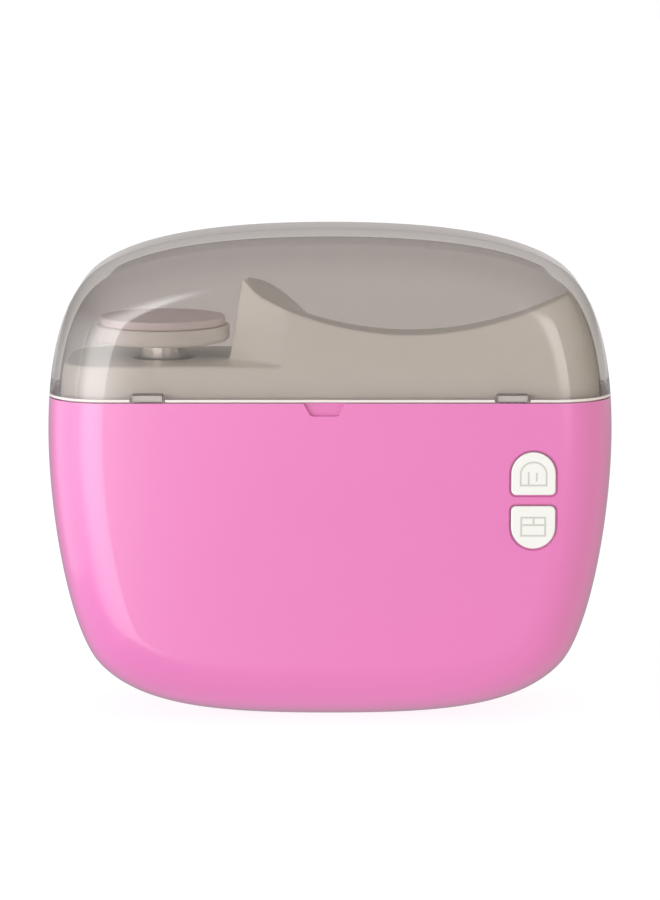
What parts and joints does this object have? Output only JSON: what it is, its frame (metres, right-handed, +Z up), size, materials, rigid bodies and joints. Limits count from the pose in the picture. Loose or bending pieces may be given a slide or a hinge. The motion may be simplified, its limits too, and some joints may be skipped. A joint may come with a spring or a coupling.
{
  "type": "nail dust collector",
  "caption": "Compact desktop nail buffer and dust collector with a pillow-shaped case, clear flip-up lid, turning disc, hand saddle and dust drawer.",
  "frame": {"origin": "centre of the base pad's underside, on the surface it stands on", "axes": "+Z up, +X to the user's right, +Y from the front with the buttons to the back with the hinge"},
  "size_m": [0.155, 0.0581, 0.1352],
  "materials": {
    "pink_plastic": "satin gloss",
    "ivory_plastic": "satin",
    "smoke_clear": "polished, see-through",
    "white_key": "satin",
    "grey_catch": "satin",
    "pad_grey": "fine abrasive",
    "base_rubber": "matt",
    "steel": "brushed",
    "black_plastic": "matt",
    "board_green": "lacquered",
    "cell_wrap": "shrink wrap",
    "filter_felt": "pleated felt"
  },
  "bodies": {
    "case": {"front_shell": "pink_plastic", "rear_shell": "pink_plastic", "vent_grille": "pink_plastic", "deck": "ivory_plastic", "intake_grille": "ivory_plastic", "catch_left": "grey_catch", "catch_right": "grey_catch", "base_pad": "base_rubber", "case_screw_1": "steel", "case_screw_2": "steel", "case_screw_3": "steel", "case_screw_4": "steel", "hinge_pin_left": "steel", "hinge_pin_right": "steel", "motor": "steel", "bracket_screw_left": "steel", "bracket_screw_right": "steel", "board_screw_1": "steel", "board_screw_2": "steel", "charge_port": "steel", "motor_bracket": "black_plastic", "dust_duct": "black_plastic", "fan_frame": "black_plastic", "switch_upper": "black_plastic", "switch_lower": "black_plastic", "battery_holder": "black_plastic", "control_board": "board_green", "charge_board": "board_green", "battery_cell": "cell_wrap", "filter_panel": "filter_felt"},
    "lid": {"lid": "smoke_clear"},
    "buffing_head": {"spindle": "steel", "disc_base": "ivory_plastic", "buffing_pad": "pad_grey"},
    "fan_rotor": {"fan_impeller": "black_plastic"},
    "drawer": {"dust_drawer": "pink_plastic"},
    "upper_key": {"button_upper": "white_key"},
    "lower_key": {"button_lower": "white_key"}
  },
  "joints": [
    {"name": "lid_hinge", "type": "hinge", "parent": "case", "child": "lid", "pos_m": [0, 0.029, 0.0894], "axis": [-1, 0, 0], "range_deg": [0, 110]},
    {"name": "disc_spin", "type": "hinge", "parent": "case", "child": "buffing_head", "pos_m": [-0.0463, 0, 0.1], "axis": [0, 0, 1], "continuous": true},
    {"name": "fan_spin", "type": "hinge", "parent": "case", "child": "fan_rotor", "pos_m": [0.038, 0.016, 0.0475], "axis": [0, 1, 0], "continuous": true},
    {"name": "drawer_slide", "type": "slide", "parent": "case", "child": "drawer", "axis": [0, 1, 0], "range_m": [0, 0.04]},
    {"name": "upper_key_press", "type": "slide", "parent": "case", "child": "upper_key", "axis": [0, 1, 0], "range_m": [0, 0.0008], "stiffness_N_per_m": 800, "springref_m": -0.0004},
    {"name": "lower_key_press", "type": "slide", "parent": "case", "child": "lower_key", "axis": [0, 1, 0], "range_m": [0, 0.0008], "stiffness_N_per_m": 800, "springref_m": -0.0004}
  ]
}
